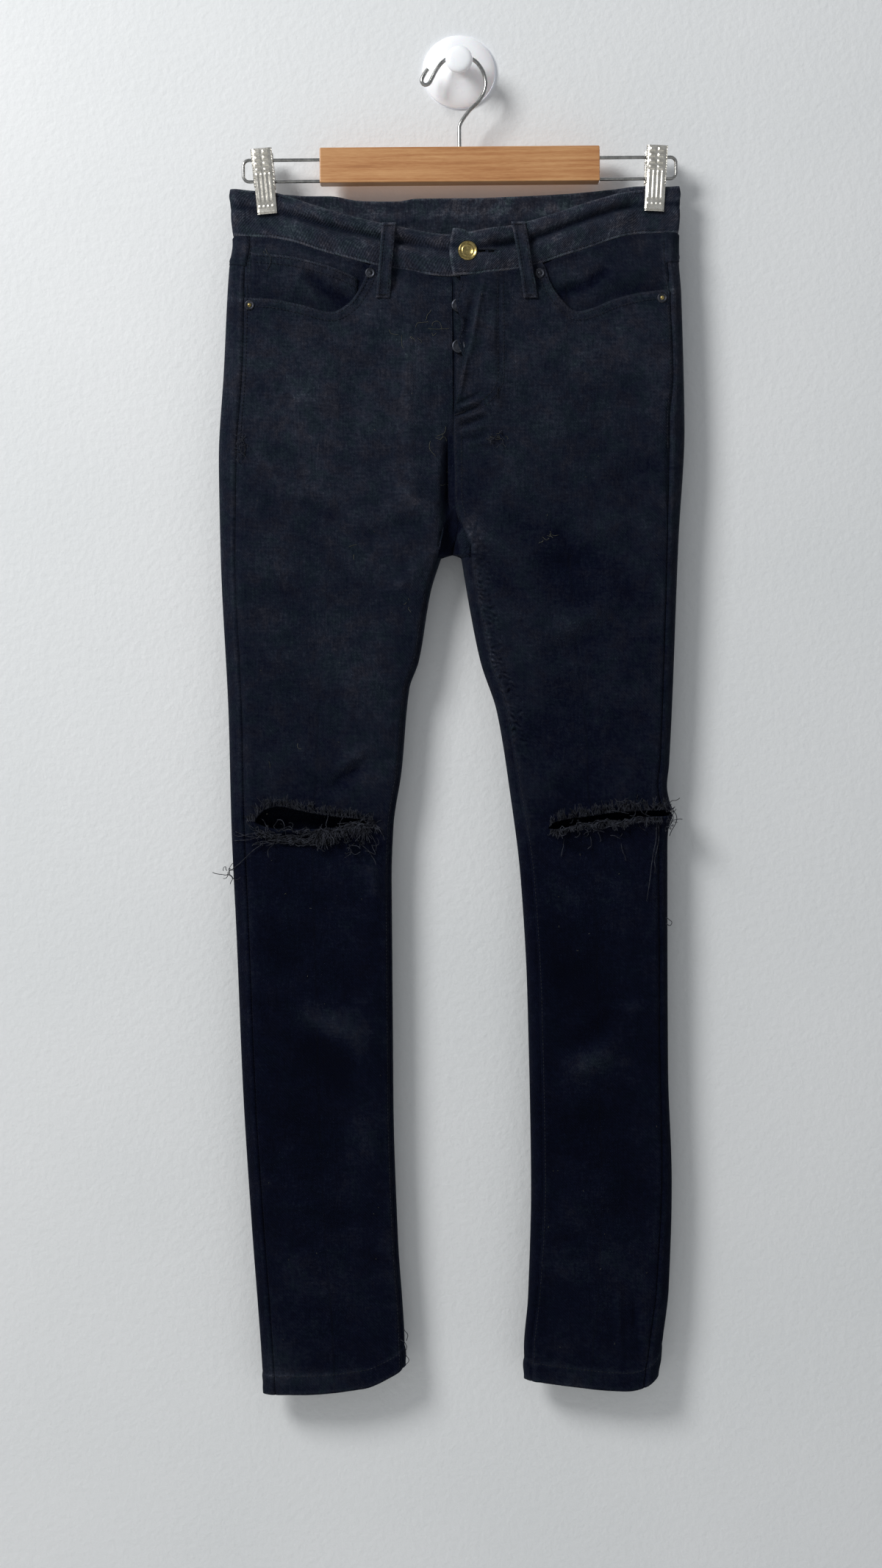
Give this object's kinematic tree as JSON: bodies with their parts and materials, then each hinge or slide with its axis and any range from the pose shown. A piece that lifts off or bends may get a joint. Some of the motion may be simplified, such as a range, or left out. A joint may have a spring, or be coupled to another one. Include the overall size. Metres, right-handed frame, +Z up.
{
  "type": "ripped jeans on a clip hanger and wall peg",
  "caption": "Black skinny stretch-denim jeans with frayed knee rips, hung flat by the waistband from a wooden clip hanger on a wall peg.",
  "frame": {"origin": "centre of the wall peg's flat back, on the wall", "axes": "+Y into the wall, +Z up along the garment's length, the garment's front faces -Y"},
  "size_m": [0.412, 0.0412, 1.2055],
  "materials": {
    "denim": "washed black stretch twill, matte",
    "fray": "loose frayed yarn, matte",
    "brass": "antique satin",
    "blackened": "blackened, satin",
    "nickel": "nickel plated, polished",
    "wood": "satin lacquer",
    "peg": "white, semi-gloss"
  },
  "bodies": {
    "root": {"right_front": "denim", "left_front": "denim", "right_back": "denim", "left_back": "denim", "right_yoke": "denim", "left_yoke": "denim", "waistband": "denim", "belt_loop_right_front": "denim", "belt_loop_left_front": "denim", "belt_loop_right_back": "denim", "belt_loop_left_back": "denim", "belt_loop_centre_back": "denim", "right_pocket_facing": "denim", "left_pocket_facing": "denim", "coin_pocket": "denim", "right_back_pocket": "denim", "left_back_pocket": "denim", "fly_shield": "denim", "fly_button_1": "blackened", "fly_button_2": "blackened", "waist_button": "brass", "rivet_right_upper": "blackened", "rivet_right_lower": "brass", "rivet_left_upper": "blackened", "rivet_left_lower": "brass", "right_fray_upper": "fray", "right_fray_lower": "fray", "left_fray_upper": "fray", "left_fray_lower": "fray", "wall_peg": "peg", "hanger_bar": "wood", "hanger_hook": "nickel", "right_wire_frame": "nickel", "right_clip_front_jaw": "nickel", "right_clip_back_jaw": "nickel", "right_clip_spring": "nickel", "left_wire_frame": "nickel", "left_clip_front_jaw": "nickel", "left_clip_back_jaw": "nickel", "left_clip_spring": "nickel"}
  },
  "joints": []
}
